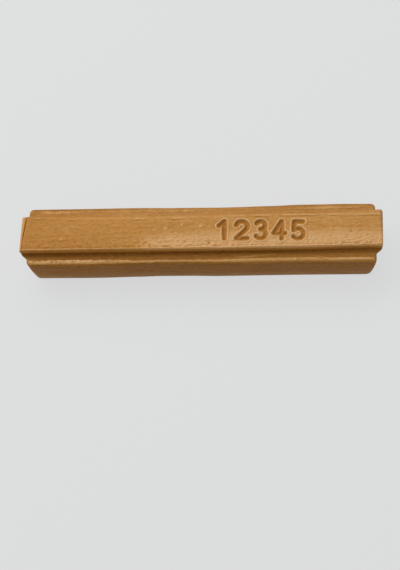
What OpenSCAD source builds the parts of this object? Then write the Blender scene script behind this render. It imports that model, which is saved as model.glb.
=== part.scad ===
// Furniture repair wax stick: a wax bar cast in two pours, with plain counting digits pressed in its top.
// The lower bar is the first pour. The upper slab is the second one, longer and narrower than the bar.
// Millimetres, +Z up, +X along the stick, +Y to its back, origin at the middle of the base.

/* [Lower bar] */
// Length of the bar at its rim
bar_length = 77.2; // [66:0.2:110]
// Height of the bar, from its base to the seam
bar_height = 8.4; // [6:0.1:14]
// How far each long side leans in, from rim to base
side_lean = 0.7; // [0:0.1:1.5]
// How far the left end leans in, from rim to base
left_end_lean = 0.6; // [0.2:0.1:2.5]
// How far the right end leans in, from rim to base
right_end_lean = 0.6; // [0.2:0.1:2.5]
// Radius on the edges of the rim
rim_radius = 0.4; // [0.2:0.05:0.8]
// Radius on the edges of the base
base_radius = 0.6; // [0.2:0.05:1.5]
// Radius of the bar's upright corners
bar_corner_radius = 1.0; // [0.4:0.1:2.5]
// Width of the ledge in front of the slab
front_ledge = 2.6; // [2:0.05:4]
// Width of the ledge behind the slab
back_ledge = 2.8; // [2:0.05:4]

/* [Upper slab] */
// Width of the slab at the seam
slab_width = 8.6; // [7:0.1:12]
// Height of the slab above the seam
slab_height = 2.1; // [1.5:0.1:4]
// How far the slab reaches past the bar's rim at each end
slab_overhang = 1.4; // [1.2:0.1:3]
// How far each wall of the slab leans in, from seam to top
slab_lean = 0.15; // [0.05:0.05:0.4]
// Radius on the slab's top edges
slab_edge_radius = 0.6; // [0.2:0.05:0.8]
// Radius of the slab's upright corners
slab_corner_radius = 0.8; // [0.3:0.1:1.5]

/* [Seam] */
// Width of the shrinkage trough along the bar's top, which the slab's tongue fills
trough_width = 5.6; // [4:0.1:6.5]
// Depth of the trough
trough_depth = 1.2; // [0.6:0.1:2]
// Distance from each end of the bar to the trough
trough_margin = 5; // [3:0.5:12]
// Gap between the trough and the tongue
seam_gap = 0.02; // [0.01:0.01:0.1]

/* [End tabs] */
// Height of a tab where it leaves the bar
tab_root_height = 1.0; // [0.5:0.1:2]
// Height of a tab at its tip, under the slab's end
tab_tip_height = 0.3; // [0.1:0.05:0.45]
// How far a tab's root spreads past the slab at the front
tab_front_spread = 1.3; // [0.4:0.1:1.8]
// How far a tab's root spreads past the slab at the back
tab_back_spread = 0.4; // [0.2:0.1:1.8]

/* [Left end sliver] */
// Thickness of the split sliver at the stick's back
sliver_back = 1.1; // [0.6:0.05:1.1]
// Thickness of the split sliver at the stick's front
sliver_front = 0.45; // [0.3:0.05:0.6]
// Width of the crack at the top of the sliver
crack_width = 0.3; // [0.1:0.05:0.5]
// How far the sliver's top lies below the slab's
sliver_drop = 0.15; // [0.05:0.05:0.4]

/* [Flash] */
// Width of a flash bead along the rim
flash_width = 0.6; // [0.3:0.05:0.9]
// Distance from the rounded rim to a flash bead
flash_inset = 0.05; // [0.05:0.05:0.3]

/* [Pressed digits] */
// Height of a digit, with its stroke
digit_height = 5.2; // [3:0.1:6]
// Width of a digit, with its stroke
digit_width = 3.5; // [2.6:0.1:3.8]
// Distance from one digit to the next
digit_pitch = 4.13; // [3.9:0.01:5.5]
// Width of a stroke
stroke_width = 1.05; // [0.5:0.05:1.2]
// Depth of a stroke
stamp_depth = 0.6; // [0.1:0.05:0.8]
// Distance from the middle of the slab to the middle digit
stamp_offset = 13.4; // [0:0.1:18]
// Distance from the slab's middle line to the row's one, to the front
stamp_drop = 0.1; // [0:0.05:0.6]

/* [Hidden] */
// How far a cut runs past the face that it opens
overrun = 1;
// How many digits the row has, and where it starts
digit_count = 5;
first_digit = 1;
// Steps of the fan that cuts an arc stroke, and its reach as a share of the arc's outer radius
fan_steps = 12;
fan_reach_share = 1.2;
// Stretches of flash on each rim, start and end, as shares of the bar's length from its middle
front_flash_shares = [[-0.485, -0.2], [-0.185, 0.04], [0.055, 0.2], [0.215, 0.485]];
back_flash_shares = [[-0.45, -0.36], [-0.12, 0.02], [0.29, 0.43]];

slab_length = bar_length + 2 * slab_overhang;
bar_width = slab_width + front_ledge + back_ledge;
slab_middle = (front_ledge - back_ledge) / 2;
stick_height = bar_height + slab_height;
trough_radius = (pow(trough_width / 2, 2) + pow(trough_depth, 2)) / (2 * trough_depth);
trough_axis = bar_height - trough_depth + trough_radius;
trough_half_run = bar_length / 2 - trough_margin - trough_width / 2;
tongue_lap = (slab_height - stamp_depth) / 2;
digit_run = digit_width - stroke_width;
digit_rise = digit_height - stroke_width;

wax_tan = [0.71, 0.5, 0.23];
slab_tan = [0.73, 0.51, 0.23];
flash_tan = [0.76, 0.55, 0.29];

$fn = 64;

// Lays a flat outline across the stick: its x goes to Y, its y goes to Z
module along_x(length) {
    rotate([90, 0, 90])
        linear_extrude(height = length, center = true)
            children();
}

// Lays a flat outline along the stick: its x goes to X, its y goes to Z
module along_y(length) {
    rotate([90, 0, 0])
        linear_extrude(height = length, center = true)
            children();
}

function unit(v) = v / norm(v);

// A convex outline with an arc of its own radius at each corner, or a sharp corner where that is 0
module rounded_outline(corners, radii) {
    count = len(corners);
    function back(i) = unit(corners[(i + count - 1) % count] - corners[i]);
    function ahead(i) = unit(corners[(i + 1) % count] - corners[i]);
    function half_angle(i) = acos(back(i) * ahead(i)) / 2;
    function setback(i) = radii[i] / tan(half_angle(i));
    polygon([
        for (i = [0 : count - 1])
            each radii[i] > 0
                ? [corners[i] + setback(i) * back(i), corners[i] + setback(i) * ahead(i)]
                : [corners[i]]
    ]);
    for (i = [0 : count - 1])
        if (radii[i] > 0)
            translate(corners[i] + unit(back(i) + ahead(i)) * radii[i] / sin(half_angle(i)))
                circle(r = radii[i]);
}

// A rectangle about the origin with round corners
module rounded_plan(length, width, radius) {
    x = length / 2;
    y = width / 2;
    rounded_outline([[-x, -y], [x, -y], [x, y], [-x, y]], [radius, radius, radius, radius]);
}

// The shrinkage trough, as a capsule along the stick that is lowered into the bar's top
module trough(gap) {
    radius = trough_radius - gap;
    translate([0, 0, trough_axis]) {
        rotate([0, 90, 0])
            cylinder(r = radius, h = 2 * trough_half_run, center = true);
        for (side = [-1, 1])
            translate([side * trough_half_run, 0, 0])
                sphere(r = radius);
    }
}

// The first pour without its trough: leaning sides and ends, round rim, base and corners
module bar_block() {
    rim_y = bar_width / 2;
    base_y = rim_y - side_lean;
    rim_x = bar_length / 2;
    side_radii = [base_radius, base_radius, rim_radius, rim_radius];
    intersection() {
        along_x(slab_length)
            rounded_outline(
                [[-base_y, 0], [base_y, 0], [rim_y, bar_height], [-rim_y, bar_height]],
                side_radii
            );
        along_y(bar_width + overrun)
            rounded_outline(
                [
                    [-rim_x + left_end_lean, 0],
                    [rim_x - right_end_lean, 0],
                    [rim_x, bar_height],
                    [-rim_x, bar_height]
                ],
                side_radii
            );
        linear_extrude(height = bar_height)
            rounded_plan(bar_length, bar_width, bar_corner_radius);
    }
}

// The web of wax that carries the slab's overhang at one end, side 1 for the right end
module end_tab(side) {
    root_x = bar_length / 2 - max(left_end_lean, right_end_lean) - tab_root_height;
    rim_x = bar_length / 2;
    tip_x = slab_length / 2;
    tip_y = slab_width / 2;
    front_y = -tip_y - tab_front_spread;
    back_y = tip_y + tab_back_spread;
    mirror([side < 0 ? 1 : 0, 0, 0])
        intersection() {
            along_y(bar_width)
                polygon([
                    [root_x, bar_height],
                    [root_x, bar_height - tab_root_height],
                    [rim_x - tab_root_height, bar_height - tab_root_height],
                    [tip_x, bar_height - tab_tip_height],
                    [tip_x, bar_height]
                ]);
            linear_extrude(height = bar_height)
                polygon([
                    [root_x, front_y],
                    [rim_x, front_y],
                    [tip_x, -tip_y],
                    [tip_x, tip_y],
                    [rim_x, back_y],
                    [root_x, back_y]
                ]);
        }
}

module lower_bar() {
    color(wax_tan)
        difference() {
            union() {
                bar_block();
                for (side = [-1, 1])
                    translate([0, slab_middle, 0])
                        end_tab(side);
            }
            translate([0, slab_middle, 0])
                trough(0);
        }
}

// The second pour as it leaves the mould, before the number, the tongue and the crack
module slab_block() {
    seam_x = slab_length / 2;
    top_x = seam_x - slab_lean;
    seam_y = slab_width / 2;
    top_y = seam_y - slab_lean;
    top_radii = [0, 0, slab_edge_radius, slab_edge_radius];
    intersection() {
        along_x(slab_length + overrun)
            rounded_outline(
                [[-seam_y, bar_height], [seam_y, bar_height], [top_y, stick_height], [-top_y, stick_height]],
                top_radii
            );
        along_y(slab_width + overrun)
            rounded_outline(
                [[-seam_x, bar_height], [seam_x, bar_height], [top_x, stick_height], [-top_x, stick_height]],
                top_radii
            );
        translate([0, 0, bar_height])
            linear_extrude(height = slab_height)
                rounded_plan(slab_length, slab_width, slab_corner_radius);
    }
}

// Everything to the left of the split, which runs askew across the slab's left end.
// The split stands upright, or leans right by its opening at the top of the slab.
module left_of_split(opening) {
    seam_x = -slab_length / 2;
    across = atan2(sliver_back - sliver_front, slab_width);
    lean = atan2(opening, slab_height);
    depth = slab_length;
    translate([seam_x + (sliver_back + sliver_front) / 2, 0, bar_height])
        rotate([0, 0, -across])
            rotate([0, lean, 0])
                translate([-depth, -depth / 2, -depth / 2])
                    cube([depth, depth, depth]);
}

// One straight stroke of a digit, with round ends
module line_stroke(start, end) {
    run = end - start;
    translate(start) {
        circle(d = stroke_width);
        rotate(atan2(run.y, run.x))
            translate([0, -stroke_width / 2])
                square([norm(run), stroke_width]);
    }
    translate(end)
        circle(d = stroke_width);
}

// One round stroke of a digit, from one angle to another, with round ends
module arc_stroke(centre, radius, start, end) {
    outer = radius + stroke_width / 2;
    step = (end - start) / fan_steps;
    translate(centre) {
        intersection() {
            difference() {
                circle(r = outer);
                circle(r = radius - stroke_width / 2);
            }
            polygon([
                [0, 0],
                for (i = [0 : fan_steps])
                    fan_reach_share * outer * [cos(start + i * step), sin(start + i * step)]
            ]);
        }
        for (angle = [start, end])
            translate(radius * [cos(angle), sin(angle)])
                circle(d = stroke_width);
    }
}

// A point of a digit, from shares of its stroke's run and rise about its middle
function digit_point(x_share, y_share) = [x_share * digit_run, y_share * digit_rise];

module digit_one() {
    line_stroke(digit_point(0.12, -0.5), digit_point(0.12, 0.5));
    line_stroke(digit_point(0.12, 0.5), digit_point(-0.36, 0.24));
}

module digit_two() {
    radius = digit_run / 2;
    centre = digit_point(0, 0.5) - [0, radius];
    turn = -38;
    line_stroke(centre + radius * [cos(turn), sin(turn)], digit_point(-0.5, -0.5));
    arc_stroke(centre, radius, turn, 165);
    line_stroke(digit_point(-0.5, -0.5), digit_point(0.5, -0.5));
}

module digit_three() {
    upper_share = 0.235;
    upper = upper_share * digit_rise;
    lower = digit_rise / 2 - upper;
    arc_stroke(digit_point(0, 0.5) - [0, upper], upper, -90, 150);
    arc_stroke(digit_point(0, -0.5) + [0, lower], lower, -150, 90);
}

module digit_four() {
    line_stroke(digit_point(0.2, 0.5), digit_point(-0.5, -0.2));
    line_stroke(digit_point(-0.5, -0.2), digit_point(0.5, -0.2));
    line_stroke(digit_point(0.2, 0.5), digit_point(0.2, -0.5));
}

module digit_five() {
    radius_share = 0.29;
    radius = radius_share * digit_rise;
    centre = digit_point(-0.03, -0.5) + [0, radius];
    turn = 138;
    line_stroke(digit_point(0.4, 0.5), digit_point(-0.34, 0.5));
    line_stroke(digit_point(-0.34, 0.5), centre + radius * [cos(turn), sin(turn)]);
    arc_stroke(centre, radius, -145, turn);
}

module digit(value) {
    if (value == 1) digit_one();
    if (value == 2) digit_two();
    if (value == 3) digit_three();
    if (value == 4) digit_four();
    if (value == 5) digit_five();
}

// The row of digits, as the punches that press it
module number_punch() {
    translate([stamp_offset, -stamp_drop, stick_height - stamp_depth])
        linear_extrude(height = stamp_depth + overrun)
            for (i = [0 : digit_count - 1])
                translate([(i - (digit_count - 1) / 2) * digit_pitch, 0])
                    digit(first_digit + i);
}

module upper_slab() {
    color(slab_tan)
        translate([0, slab_middle, 0]) {
            difference() {
                slab_block();
                number_punch();
                left_of_split(crack_width);
            }
            intersection() {
                trough(seam_gap);
                translate([-slab_length / 2, -slab_width / 2, 0])
                    cube([slab_length, slab_width, bar_height + tongue_lap]);
            }
        }
}

module left_end_sliver() {
    color(slab_tan)
        translate([0, slab_middle, 0])
            intersection() {
                slab_block();
                left_of_split(0);
                translate([-slab_length, -slab_width, 0])
                    cube([slab_length, 2 * slab_width, stick_height - sliver_drop]);
            }
}

// Beads of squeezed-out wax that lie on the ledge along one rim, side 1 for the back
module flash_beads(side, stretches) {
    radius = flash_width / 2;
    color(flash_tan)
        translate([0, side * (bar_width / 2 - rim_radius - flash_inset - radius), bar_height])
            for (stretch = stretches) {
                run = (stretch[1] - stretch[0]) * bar_length;
                intersection() {
                    translate([stretch[0] * bar_length, 0, 0]) {
                        rotate([0, 90, 0])
                            cylinder(r = radius, h = run);
                        for (end = [0, run])
                            translate([end, 0, 0])
                                sphere(r = radius);
                    }
                    translate([-slab_length / 2, -flash_width, 0])
                        cube([slab_length, 2 * flash_width, flash_width]);
                }
            }
}

module front_flash() {
    flash_beads(-1, front_flash_shares);
}

module back_flash() {
    flash_beads(1, back_flash_shares);
}

lower_bar();
upper_slab();
left_end_sliver();
front_flash();
back_flash();
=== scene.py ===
# %% [markdown]
# # A stick of furniture repair wax
# The real thing is a short bar of wax that is softened and pressed into scratches in wood.
# It is cast: a wide bar with leaning walls and, on it, a narrower and longer slab with digits pressed in it.
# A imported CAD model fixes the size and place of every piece. It is exact but plain, so this lesson gives it
# what cast wax has: soft edges, flow streaks, pits, a split end and ragged flash along the rims.

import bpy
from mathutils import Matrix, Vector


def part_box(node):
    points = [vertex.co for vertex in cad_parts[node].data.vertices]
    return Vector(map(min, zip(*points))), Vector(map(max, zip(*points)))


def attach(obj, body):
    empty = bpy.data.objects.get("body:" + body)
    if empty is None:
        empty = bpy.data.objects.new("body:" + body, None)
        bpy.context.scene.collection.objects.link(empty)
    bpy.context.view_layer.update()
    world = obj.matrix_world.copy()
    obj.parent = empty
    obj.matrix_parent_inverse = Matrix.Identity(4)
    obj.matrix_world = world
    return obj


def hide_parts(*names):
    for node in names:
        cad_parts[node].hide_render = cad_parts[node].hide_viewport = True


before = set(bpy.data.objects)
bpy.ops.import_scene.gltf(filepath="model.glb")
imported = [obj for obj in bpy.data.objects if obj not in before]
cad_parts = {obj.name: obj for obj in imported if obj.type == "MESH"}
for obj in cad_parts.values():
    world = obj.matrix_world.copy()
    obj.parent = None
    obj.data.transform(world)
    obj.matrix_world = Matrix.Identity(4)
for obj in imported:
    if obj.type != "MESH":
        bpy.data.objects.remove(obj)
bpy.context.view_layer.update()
print("CAD nodes:", ", ".join(sorted(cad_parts)))

# %% [markdown]
# ## Sizes
# Blender works in metres, but a stick of wax is easier to think about in millimetres.
# So each piece is modelled in millimetres and scaled once, at its end.
# The corners of the CAD nodes give the main sizes, and only what they can't tell is typed here,
# such as how far the slab's ends stand out over the bar.

# %% Read the main sizes from the frame
import math
from collections import namedtuple

import bmesh
import bpy
from mathutils import Matrix, Vector, noise

MM = 0.001
END_OVERHANG = 1.4

bar_low, bar_high = (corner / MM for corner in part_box("lower_bar"))
slab_low, slab_high = (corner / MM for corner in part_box("upper_slab"))
seam_z = bar_high.z
top_z = slab_high.z
slab_y = (slab_low.y + slab_high.y) / 2
slab_half_y = (slab_high.y - slab_low.y) / 2
rim_x = bar_high.x - END_OVERHANG
print(f"stick {2 * bar_high.x:.1f} long, {2 * bar_high.y:.1f} wide, {top_z:.1f} high, seam at {seam_z:.1f}")

# %% [markdown]
# ## The camera
# The photograph looks down on the front of the stick, turned and tilted by a few degrees.
# A camera can be aimed with a Track To constraint, but that can't hold the tilt, which is called roll.
# So its three axes are worked out from pitch, yaw and roll, and set as one matrix.

# %% Place the camera
PITCH = math.radians(65.1)
YAW = math.radians(9.7)
ROLL = math.radians(-9.6)
CAMERA_TARGET = Vector((-0.18, -10.66, 5.0)) * MM
CAMERA_DISTANCE = 352.6 * MM
FOCAL_PIXELS = 1600
PICTURE_HEIGHT = 570

forward = Vector((-math.sin(YAW) * math.cos(PITCH), math.cos(YAW) * math.cos(PITCH), -math.sin(PITCH)))
level = Vector((math.cos(YAW), math.sin(YAW), 0))
upright = level.cross(forward)
right = math.cos(ROLL) * level + math.sin(ROLL) * upright
above = math.cos(ROLL) * upright - math.sin(ROLL) * level
place = CAMERA_TARGET - CAMERA_DISTANCE * forward

camera_data = bpy.data.cameras.new("camera")
camera_data.lens = FOCAL_PIXELS * camera_data.sensor_width / PICTURE_HEIGHT
camera_data.clip_start = MM
camera = bpy.data.objects.new("camera", camera_data)
camera.matrix_world = Matrix.Translation(place) @ Matrix((right, above, -forward)).transposed().to_4x4()
bpy.context.scene.collection.objects.link(camera)
bpy.context.scene.camera = camera
print(f"camera with a {camera_data.lens:.1f} mm lens, {CAMERA_DISTANCE / MM:.0f} mm away")

# %% [markdown]
# ## Cells to sculpt
# Wax has no straight edge, so each piece needs many small faces that can be pushed about.
# A sculptor would remesh a box. Here a box is cut into bands and each band into even cells,
# because then the cells can be small where the detail is, such as under the digits.
# The box is open below, and its underside is closed with a single face at the end.

# %% Cut a box into bands of cells
TINY = 1e-4


def in_band(edge, axis, start, end):
    """Whether an edge runs along an axis, between two places on it."""
    near, far = sorted(vert.co[axis] for vert in edge.verts)
    return far - near > TINY and start - TINY < near and far < end + TINY


def box_of_cells(*axes):
    """A box, open below. X, Y and Z each give their start, then the end and cell size of each band."""
    bm = bmesh.new()
    bmesh.ops.create_cube(bm, size=1)
    underside = min(bm.faces, key=lambda face: face.calc_center_median().z)
    bmesh.ops.delete(bm, geom=[underside], context="FACES_ONLY")
    low = Vector([bands[0] for bands in axes])
    high = Vector([bands[-1][0] for bands in axes])
    bmesh.ops.scale(bm, vec=high - low, verts=bm.verts)
    bmesh.ops.translate(bm, vec=(low + high) / 2, verts=bm.verts)
    for axis, (start, *bands) in enumerate(axes):
        normal = Vector([float(axis == other) for other in range(3)])
        for end, cell in bands[:-1]:
            whole = bm.verts[:] + bm.edges[:] + bm.faces[:]
            bmesh.ops.bisect_plane(bm, geom=whole, plane_co=normal * end, plane_no=normal)
    for axis, (start, *bands) in enumerate(axes):
        for end, cell in bands:
            edges = [edge for edge in bm.edges if in_band(edge, axis, start, end)]
            cuts = max(round((end - start) / cell) - 1, 0)
            bmesh.ops.subdivide_edges(bm, edges=edges, cuts=cuts, use_grid_fill=True)
            start = end
    return bm


print("a box can be cut into cells")

# %% [markdown]
# ## From cells to a piece
# Every piece ends the same way: its underside is closed, it is scaled to metres, and its faces are
# shaded soft. The edge of the underside stays sharp, so that its one flat face doesn't bend the shading
# of the walls. The piece then rides on the part's only body, and takes the place of a CAD node.

# %% Close a piece and put it in the frame
BODY = "root"


def finish_piece(bm, name, node):
    """Makes a mesh object of a sculpted box, and has it stand for a CAD node."""
    rim = [edge for edge in bm.edges if edge.is_boundary]
    for edge in rim:
        edge.smooth = False
    bmesh.ops.holes_fill(bm, edges=rim, sides=0)
    bmesh.ops.recalc_face_normals(bm, faces=bm.faces)
    bmesh.ops.scale(bm, vec=(MM, MM, MM), verts=bm.verts)
    for face in bm.faces:
        face.smooth = True
    mesh = bpy.data.meshes.new(name)
    bm.to_mesh(mesh)
    bm.free()
    piece = bpy.data.objects.new(name, mesh)
    bpy.context.scene.collection.objects.link(piece)
    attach(piece, BODY)
    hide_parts(node)
    print(f"{name}: {len(mesh.polygons)} faces")
    return piece


print(f"pieces will ride on {BODY}")

# %% [markdown]
# ## Soft edges
# The Bevel tool rounds the edges of a plain box, but not of one that is already in cells.
# So a point near an edge is moved onto the round: a point of the top or a wall goes to the arc that
# replaces the edge, and the rings of points about an upright corner go to rings about its arc.

# %% Round the edges and corners of a box of cells
def round_edge(depth, drop, radius):
    """Takes a point at a depth behind a wall and a drop below the top onto the round edge between them."""
    if depth >= radius or drop >= radius:
        return depth, drop
    side = 1 - depth / radius
    rise = 1 - drop / radius
    reach = math.hypot(side, rise)
    return radius * (1 - side / reach), radius * (1 - rise / reach)


def round_corner(depth_x, depth_y, radius):
    """Takes a point at its depths behind two walls onto rings about their round corner."""
    out_x = 1 - depth_x / radius
    out_y = 1 - depth_y / radius
    if out_x <= 0 or out_y <= 0:
        return depth_x, depth_y
    ring = max(out_x, out_y)
    angle = math.atan(1) * min(out_x, out_y) / ring
    far, near = ring * math.cos(angle), ring * math.sin(angle)
    out_x, out_y = (far, near) if out_x >= out_y else (near, far)
    return radius * (1 - out_x), radius * (1 - out_y)


def soften(co, low, high, corner, top_round, base_round=0):
    """Takes a point of a plain box onto the box with round upright corners, a round top edge and base."""
    x, y, z = co
    old_x = min(x - low.x, high.x - x)
    old_y = min(y - low.y, high.y - y)
    depth = min(old_x, old_y)
    inset, drop = round_edge(depth, high.z - z, top_round)
    z = high.z - drop
    if z - low.z < base_round:
        turn = (1 - (z - low.z) / base_round) * math.pi / 2
        inset += base_round * (1 - math.cos(turn))
        z = low.z + base_round * (1 - math.sin(turn))
    new_x = inset if old_x == depth else old_x
    new_y = inset if old_y == depth else old_y
    new_x, new_y = round_corner(new_x, new_y, corner)
    x += math.copysign(new_x - old_x, (low.x + high.x) / 2 - x) if new_x > old_x else 0
    y += math.copysign(new_y - old_y, (low.y + high.y) / 2 - y) if new_y > old_y else 0
    return Vector((x, y, z))


print("edges and corners can be rounded")

# %% [markdown]
# ## Steps, ripples and lines
# A few small tools shape everything that is uneven. A soft step blends one stretch into another,
# a ripple is smooth noise that can be stretched along the stick, as poured wax flows, a hill fades out
# from its middle, and a line through stops says how something changes from the left end to the right one.

# %% Define steps, ripples and lines
LAYER_GAP = 7.3
USUAL = 0.8
# A ripple has a swing to either side of 0, lengths of its waves along and across, and a layer of noise
Ripple = namedtuple("Ripple", "swing along across layer")


def ease(start, end, value):
    """0 before start, 1 after end, and a soft step between them."""
    share = min(max((value - start) / (end - start), 0), 1)
    return share * share * (3 - 2 * share)


def ripple(x, y, kind, shift=0):
    """Smooth noise at a place. A shift takes it to another pattern of the same kind."""
    layer = kind.layer + shift
    return kind.swing * noise.noise(Vector((x / kind.along, y / kind.across, layer * LAYER_GAP)))


def patchy(x, y, kind):
    """A strength that swings about its usual value from patch to patch."""
    return USUAL + ripple(x, y, kind)


def hill(distance, width):
    """1 at no distance, and nearly 0 at twice the width."""
    return math.exp(-((distance / width) ** 2))


def mound(x, y, middle_x, middle_y, radius):
    """A round mound, 1 at its middle and nearly 0 at twice its radius."""
    return hill(math.hypot(x - middle_x, y - middle_y), radius)


def between(stops, x):
    """The value at x of a soft line through stops of (x, value)."""
    for (x0, value0), (x1, value1) in zip(stops, stops[1:]):
        if x < x1:
            return value0 + (value1 - value0) * ease(x0, x1, x)
    return stops[-1][1]


def to_line(point, start, end):
    """Distance from a point to a straight line from start to end."""
    run = end - start
    share = min(max((point - start).dot(run) / run.length_squared, 0), 1)
    return (point - start - share * run).length


print(f"a ripple at the middle of a wave: {ripple(0.5, 0.5, Ripple(1, 1, 1, 0)):.3f}")

# %% [markdown]
# ## The wax bar
# The bar is the wider, lower pour. Its walls and ends lean in, so that it leaves the mould, and its rims
# aren't quite straight. Under each end of the slab a web of wax runs out to carry it, and where the slab
# stands the ledge turns up in a small cove. All of that is a move of the box's points, as with a
# sculpting brush.

# %% Bend the rims
RIM_BACK_CORNER = 1.0
RIM_LEFT_CORNER = 1.2
RIM_RIGHT_CORNER = 0.5
# Stops of (x, shift to the back) for both rims of the bar and for the slab's front wall
BACK_RIM = ((-38, 0.13), (-14, 0.13), (-5, 0), (4, -0.08), (16, 0.08), (22, 0.28), (30, 0.32), (38, 0.23))
FRONT_RIM = (
    (-38, -0.05), (-24, -0.16), (-14, 0), (-9, 0.12), (-3, 0.06),
    (4, -0.1), (11, -0.12), (22, -0.03), (33, -0.17), (38, -0.15),
)
SLAB_FRONT = ((-38, 0), (24, 0), (33, 0.12), (39, 0.2))


def rim_shift(x, y):
    """How far a place on a ledge or long wall lies to the back, because the rim isn't straight."""
    return between(BACK_RIM if y > 0 else FRONT_RIM, x) * ease(slab_half_y, bar_high.y, abs(y))


def rim_corner(x, y):
    """Radius of the rim's corner on a place's side. The front right one is worn least."""
    if y > 0:
        return RIM_BACK_CORNER
    return RIM_LEFT_CORNER if x < 0 else RIM_RIGHT_CORNER


def slab_gap(x, y):
    """How far a place lies outside of the slab's long walls."""
    return max(y - slab_high.y, slab_low.y + between(SLAB_FRONT, x) - y)


print(f"the front ledge is {slab_gap(0, bar_low.y):.2f} mm wide at the middle")

# %% Slope and fold the ledges
COVE_RADIUS = 0.22
LEDGE_RISE = 0.35
LEDGE_FALL = 0.1
LEDGE_LAP = 0.3
FOLD_PATCHES = Ripple(0.7, 1.2, 1.2, 17)
# Each fold is a line on the front ledge: its start, its end, its width and its rise
FOLDS = (
    ((8.0, -5.7), (10.6, -5.6), 0.2, 0.13),
    ((10.6, -5.6), (13.2, -5.35), 0.2, 0.14),
    ((13.2, -5.35), (16.6, -5.15), 0.18, 0.12),
    ((-1.4, -5.1), (-0.4, -5.3), 0.16, 0.14),
    ((25.0, -5.5), (28.6, -6.35), 0.18, 0.16),
)


def cove(gap):
    """How far the ledge turns up at a gap from the slab's wall."""
    if gap >= COVE_RADIUS or gap <= 0:
        return 0
    return COVE_RADIUS - math.sqrt(COVE_RADIUS ** 2 - (COVE_RADIUS - gap) ** 2)


def ledge_height(gap):
    """How high the ledge lies above the seam at a gap from the slab's wall."""
    share = min(max(gap / (bar_high.y - slab_half_y), 0), 1)
    slope = LEDGE_RISE - (LEDGE_RISE + LEDGE_FALL) * share
    return cove(gap) + slope * ease(-LEDGE_LAP, 0, gap)


def fold_height(x, y):
    """Height of the folds on the front ledge, where skins of wax lapped over each other."""
    point = Vector((x, y))
    heights = []
    for start, end, width, rise in FOLDS:
        gap = to_line(point, Vector(start), Vector(end))
        heights.append(rise * hill(gap, width))
    return patchy(x, y, FOLD_PATCHES) * max(heights)


print(f"beside the slab the ledge lies {ledge_height(COVE_RADIUS):.2f} mm above the seam")

# %% Shape the wax bar
BASE_CORNER = 1.9
RIM_ROUND = 0.4
BASE_ROUND = 0.6
SIDE_LEAN = 0.65
LEFT_LEAN = 0.65
RIGHT_LEAN = 0.6
LEAN_CURVE = 2
END_CURVE = 8
WEB_HEIGHT = 1.2
WEB_FRONT_SPREAD = 1.1
WEB_BACK_SPREAD = 0.3
WEB_ROUND = 0.1
WEB_LEFT_SETBACK = 0.34
WEB_RIGHT_SETBACK = 0.2
WALL_WAVE = Ripple(0.05, 12, 4, 1)
WALL_STREAK = Ripple(0.02, 9, 0.5, 2)
LEDGE_STREAK = Ripple(0.02, 7, 0.5, 3)
FOLD_HIGHLIGHT_HEIGHT = 0.24


def bar_point(co):
    """Where a point of the plain box lies on the wax bar, and how much painted highlight its folds get there.
    """
    low = Vector((-rim_x, bar_low.y, 0))
    high = Vector((rim_x, bar_high.y, seam_z))
    spread = WEB_FRONT_SPREAD if co.y < slab_y else WEB_BACK_SPREAD
    under = 1 - ease(0, spread, slab_gap(co.x, co.y))
    corner = BASE_CORNER + (rim_corner(co.x, co.y) - BASE_CORNER) * co.z / seam_z
    top_round = RIM_ROUND + (WEB_ROUND - RIM_ROUND) * under
    x, y, z = soften(co, low, high, corner, top_round, BASE_ROUND)
    below = 1 - z / seam_z
    out_x = abs(co.x) / rim_x
    lean = LEFT_LEAN if x < 0 else RIGHT_LEAN
    x -= math.copysign(lean * below ** LEAN_CURVE * out_x ** END_CURVE, x)
    y -= math.copysign(SIDE_LEAN * below * abs(y) / bar_high.y, y)
    web = under * ease(seam_z - WEB_HEIGHT, seam_z, co.z)
    setback = WEB_LEFT_SETBACK if x < 0 else WEB_RIGHT_SETBACK
    x += math.copysign((END_OVERHANG - setback) * web * ease(rim_x - END_OVERHANG, rim_x, abs(co.x)), x)
    on_top = ease(seam_z - RIM_ROUND, seam_z, co.z)
    fold = on_top * fold_height(x, y)
    z += on_top * (ledge_height(slab_gap(x, y)) + ripple(x, y, LEDGE_STREAK)) + fold
    y += rim_shift(x, y)
    on_wall = abs(co.y) > bar_high.y - TINY
    if on_wall:
        y += ripple(x, z, WALL_WAVE) + ripple(x, z, WALL_STREAK)
    return Vector((x, y, z)), min(fold / FOLD_HIGHLIGHT_HEIGHT, 1)


print(f"the right end of the bar's base lies at {bar_point(Vector((rim_x, 0, 0)))[0].x:.1f} mm")

# %% Make the wax bar
BAR_CELL = 0.2
WALL_CELL = 0.26
LEDGE_CELL = 0.12
HIDDEN_CELL = 0.6
ROUND_CELL = 0.1
# Name of the layer that holds each point's worn wax and painted light and shade: above 0 it is painted paler,
# as worn wax and as highlight, above 1 it gets a painted glint, and below 0 it is painted deeper as shade
WEAR_AND_PAINTED_LIGHT = "wear_and_painted_light"

bar_bm = box_of_cells(
    [-rim_x, (rim_x, BAR_CELL)],
    [
        bar_low.y,
        (bar_low.y + RIM_ROUND, ROUND_CELL),
        (slab_low.y + LEDGE_LAP, LEDGE_CELL),
        (slab_high.y - LEDGE_LAP, HIDDEN_CELL),
        (bar_high.y - RIM_ROUND, LEDGE_CELL),
        (bar_high.y, ROUND_CELL),
    ],
    [0, (BASE_ROUND, ROUND_CELL), (seam_z - WEB_HEIGHT, WALL_CELL), (seam_z, ROUND_CELL)],
)
bar_wear_and_light = bar_bm.verts.layers.float.new(WEAR_AND_PAINTED_LIGHT)
for vert in bar_bm.verts:
    vert.co, vert[bar_wear_and_light] = bar_point(vert.co)
wax_bar = finish_piece(bar_bm, "wax_bar", "lower_bar")

# %% [markdown]
# ## The pressed digits
# A row of counting digits is pressed into the slab. A boolean cut would leave sharp walls, but a punch
# pushes wax aside: it leaves a round-bottomed groove, and a thin raised lip all round it.
# So each digit is a few strokes, and the height of the wax follows the distance to the nearest stroke.

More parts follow.
